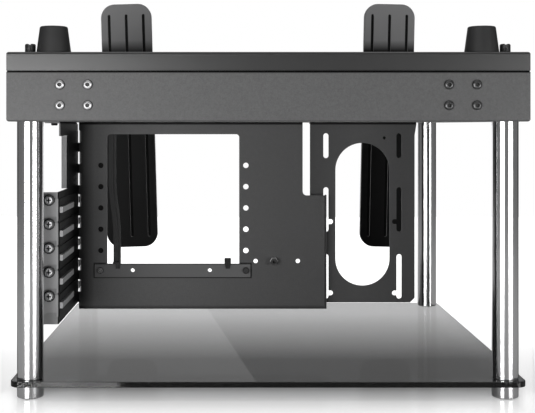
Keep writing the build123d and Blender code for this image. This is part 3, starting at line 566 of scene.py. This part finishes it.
# %% Black, grey and zinc pieces
dress(
    plated("black_plate", shade=0.03, gloss=0.3, metal=0.3),
    *[f"corner_bracket_{c}" for c in CORNERS],
    "leg_bolts",
    "cone_screws",
    "standoff",
    "crossbar_screws",
    "hanger_screws",
    "slot_collars",
)
dress(plated("grey_steel", shade=0.46, gloss=0.5, metal=0.15), "slot_ribs")
dress(
    plated("zinc_plate", shade=0.6, gloss=0.3),
    "leg_plugs",
    "foot_studs",
    "cone_nuts",
    "wall_nuts",
    "stand_screws",
    "hanger_nuts",
)

# %% [markdown]
# ## Recesses of the wall screws
# The recess of a screw and a thin ring at the rim of its head are painted
# black as shade, whatever the plating around it. The four screws of a corner
# are one piece, but they stand at even steps, so the distance from the nearest
# screw's middle gives one mask for the whole group. The left group's plating
# is painted lighter than the right one's, as painted light for the light it
# catches.


# %% Painted shade in the socket and at the rim
HEAD_W = 0.0079
SOCKET_R, RIM_R = 0.0018, 0.0035
SOFT = 0.0002


def from_nearest(coat, name, axis):
    """Distance along an axis from the nearest of two rows of screws."""
    middle, half = middle_and_half(name, axis)
    return abs(abs(coat.along(axis) - middle) - (half - HEAD_W / 2))


def wall_screw(side, shade):
    name = f"wall_screws_{side}"
    coat = Finish(f"{side}_screws")
    wipe = coat.noise(420.0, detail=2.0)
    u, v = (from_nearest(coat, name, axis) for axis in (0, 2))
    away = (u * u + v * v).math("SQRT")
    socket = 1.0 - away.ramp(SOCKET_R - SOFT, SOCKET_R + SOFT)
    # mask of the socket and the rim, painted black as shade
    painted_shade = (socket + away.ramp(RIM_R - SOFT, RIM_R + SOFT)).clamp()
    plate = coat.tint(wipe, grey(shade * 0.9), grey(shade * 1.1))
    coat.set(
        Base_Color=coat.tint(painted_shade, plate, grey(0.01)),
        Metallic=1.0 - painted_shade,
        Roughness=0.36 + 0.1 * wipe,
    )
    dress(coat, name)


# the left screws are painted light, the right ones painted shade
wall_screw("left", 0.75)
wall_screw("right", 0.14)

# %% [markdown]
# ## Crosses of the slot screws
# The five bright screws of the expansion bracket stand one slot pitch apart.
# The fraction of the height in pitches finds the place within one screw, and
# two narrow bars through its middle make the cross, painted black as the
# shade in its recess.

# %% Slot screws
SLOT_PITCH = 0.02032
SLOT_HEAD_R = 0.0037
ARM_W = (0.00045, 0.0007)  # half width of an arm, sharp and faded
ARM_L = (0.0019, 0.0022)

slot_head = Finish("slot_screw_heads")
wipe = slot_head.noise(420.0, detail=2.0)
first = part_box("slot_screws")[0][2] + SLOT_HEAD_R - SLOT_PITCH / 2
steps = (slot_head.along(2) - first) * (1 / SLOT_PITCH)
u = abs(slot_head.along(0) - middle_and_half("slot_screws", 0)[0])
v = abs(steps.math("FRACT") - 0.5) * SLOT_PITCH
upright = (1.0 - u.ramp(*ARM_W)) * (1.0 - v.ramp(*ARM_L))
level = (1.0 - v.ramp(*ARM_W)) * (1.0 - u.ramp(*ARM_L))
# the cross of the recess, painted black as shade
cross_shade = (upright + level).clamp()
plate = slot_head.tint(wipe, grey(0.5), grey(0.62))
slot_head.set(
    Base_Color=slot_head.tint(cross_shade, plate, grey(0.01)),
    Metallic=1.0 - cross_shade,
    Roughness=0.32 + 0.1 * wipe,
)
dress(slot_head, "slot_screws")

# %% [markdown]
# ## Studio lamps
# Two soft boxes stand left and right of the camera. They give the tubes
# their pair of white bands, and light the front evenly. They stand low, so
# that the deck's rim shows the bright left end and the dark middle of the
# photograph. A wide box overhead lights the top, and a weaker one the back.


# %% Soft boxes
def soft_box(name, place, aim, width, height, glow):
    """glow is the brightness of the box's own face."""
    lamp = bpy.data.lights.new(name, "AREA")
    lamp.shape = "RECTANGLE"
    lamp.size, lamp.size_y = width, height
    lamp.energy = glow * math.pi * width * height
    box = bpy.data.objects.new(name, lamp)
    box.location = place
    box.rotation_euler = (Vector(aim) - Vector(place)).to_track_quat("-Z", "Y").to_euler()
    box.visible_camera = False
    bpy.context.scene.collection.objects.link(box)
    print(name, "glow", glow)
    return box


FRONT_AIM = (0.0, -0.1, 0.15)
soft_box("left_box", (-0.45, -0.98, 0.125), FRONT_AIM, width=0.52, height=0.27, glow=10.5)
soft_box("right_box", (0.80, -1.08, 0.125), FRONT_AIM, width=0.62, height=0.27, glow=8.3)
soft_box("top_box", (0.0, -0.1, 1.9), (0.0, 0.0, 0.0), width=1.6, height=1.6, glow=0.9)
back_box = soft_box(
    "back_box", (0.0, 1.35, 0.75), (0.0, 0.1, 0.2), width=1.6, height=0.7, glow=2.2
)
back_box.visible_glossy = False

# %% [markdown]
# ## Black flags
# Polished tube shows whatever stands beside it. Two dark cards just outside
# the picture, left and right of the front tubes, give the tubes their dark
# sides, and keep the side light off the stand feet under the deck. They are
# flat sheets of the stage that the camera doesn't see.


# %% Flat sheets of the stage
def stage_sheet(name, corners):
    mesh = bpy.data.meshes.new(name)
    shape = bmesh.new()
    shape.faces.new([shape.verts.new(c) for c in corners])
    shape.to_mesh(mesh)
    shape.free()
    sheet = bpy.data.objects.new(name, mesh)
    bpy.context.scene.collection.objects.link(sheet)
    print("stage:", name)
    return sheet


# %% Flags
FLAG_TOP = 0.226


def flag(name, near, far):
    """An upright card on the line from near to far."""
    foot = [(*near, 0.0), (*far, 0.0)]
    card = stage_sheet(name, foot + [(x, y, FLAG_TOP) for x, y, z in reversed(foot)])
    felt = moulded(name + "_felt", shade=0.045, gloss=0.9, grain=900.0, depth=0.0001)
    card.data.materials.append(felt.material)
    card.visible_camera = False


flag("left_flag", (-0.222, -0.165), (-0.262, 0.02))
flag("right_flag", (0.225, -0.165), (0.275, 0.02))

# %% [markdown]
# ## White surroundings
# The world is white for the camera and dim for everything else, so that the
# picture has a white ground while the lamps alone shape the object.

# %% World
WORLD_FILL = 0.16
world = bpy.data.worlds.new("studio")
world.use_nodes = True
bpy.context.scene.world = world
sky = world.node_tree.nodes["Background"]
path = world.node_tree.nodes.new("ShaderNodeLightPath")
seen = Wire(world.node_tree, path.outputs["Is Camera Ray"])
strength = WORLD_FILL + (1.0 - WORLD_FILL) * seen
sky.inputs["Color"].default_value = (1.0, 1.0, 1.0, 1.0)
world.node_tree.links.new(strength.socket, sky.inputs["Strength"])
print("world fill:", WORLD_FILL)

# %% [markdown]
# ## Floor
# The floor is white, slightly glossy paper, and takes the shadow and a faint
# mirror image of the feet. For the camera it glows a little, and more beyond
# the shelf's outline, up to white. Under the shelf and close around its edges
# the extra glow fades out, which paints the shelf's shadow there.

# %% Floor
FLOOR_GLOW, OPEN_GLOW = 0.12, 0.52
floor = stage_sheet("floor", [(-4, -4, 0), (4, -4, 0), (4, 4, 0), (-4, 4, 0)])
paper = Finish("floor_paper")
white = paper.tint(paper.noise(8.0), (0.86, 0.86, 0.86), (0.9, 0.9, 0.9))
paper.set(Base_Color=white, Roughness=0.12)
shelf_low, shelf_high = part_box("glass_shelf")
# beyond: where the floor glows fully; its fade near the shelf paints the shelf's shadow
beyond = (shelf_low[1] - paper.along(1)).ramp(-0.04, 0.03)
for axis, edge_at, turn in (
    (0, shelf_low[0], -1.0),
    (0, shelf_high[0], 1.0),
    (1, shelf_high[1], 1.0),
):
    beyond = beyond + (turn * (paper.along(axis) - edge_at)).ramp(-0.01, 0.01)
lift = paper.add("LightPath") * (FLOOR_GLOW + OPEN_GLOW * beyond.clamp())
glow = paper.add("Emission", Strength=lift)
lit_paper = paper.add("AddShader", _0=Wire(paper.tree, paper.shader.outputs[0]), _1=glow)
paper.fill(paper.output.inputs["Surface"], lit_paper)
floor.data.materials.append(paper.material)

# %% [markdown]
# ## Wall behind, as the shelf sees it
# The camera sees a white wall. The shelf and the tubes see a graded one:
# bright near the floor and darker above, with a slanted edge, which is the
# gradient and the diagonal on the shelf in the photograph. Far to the sides
# it is dark, which darkens the inner edges of the tubes.

# %% Wall
WALL_Y = 1.5
FADE_Z = (0.267, 0.378)
LOW_GLOW, FADE_DROP = 1.01, 0.75
SLANT, SLANT_EDGE, SLANT_LIFT = 0.663, (0.257, 0.261), 0.12
SIDE_X, SIDE_FADE = 1.15, 0.3
wall = stage_sheet(
    "back_wall", [(-3, WALL_Y, 0), (3, WALL_Y, 0), (3, WALL_Y, 2.6), (-3, WALL_Y, 2.6)]
)
card = Finish("wall_card")
across, up = card.along(0), card.along(2)
fade = LOW_GLOW - FADE_DROP * up.ramp(*FADE_Z)
slanted = (up * SLANT - across).ramp(*SLANT_EDGE)
sides = (SIDE_X - abs(across)).ramp(0.0, SIDE_FADE)
mirrored = (fade + SLANT_LIFT * slanted) * sides
direct = card.add("LightPath")
shine = card.add("Emission", Strength=direct + mirrored * (1.0 - direct))
card.fill(card.output.inputs["Surface"], shine)
wall.data.materials.append(card.material)

# %% [markdown]
# ## Camera
# The photograph looks straight along the bench, a little left of its middle
# and just below the deck, so the front stays a true rectangle. The lens is
# long, and a small shift frames the bench without tilting the verticals.

# %% Camera
lens = bpy.data.cameras.new("camera")
lens.sensor_width = 36.0
lens.lens = 70.2
lens.shift_x = 0.0647
lens.shift_y = -0.1523
camera = bpy.data.objects.new("camera", lens)
camera.location = (-0.0287, -1.0364, 0.2237)
camera.rotation_euler = (math.radians(90), 0, 0)
bpy.context.scene.collection.objects.link(camera)
bpy.context.scene.camera = camera
bpy.context.scene.view_settings.view_transform = "Standard"
print("camera at", tuple(round(v, 3) for v in camera.location))
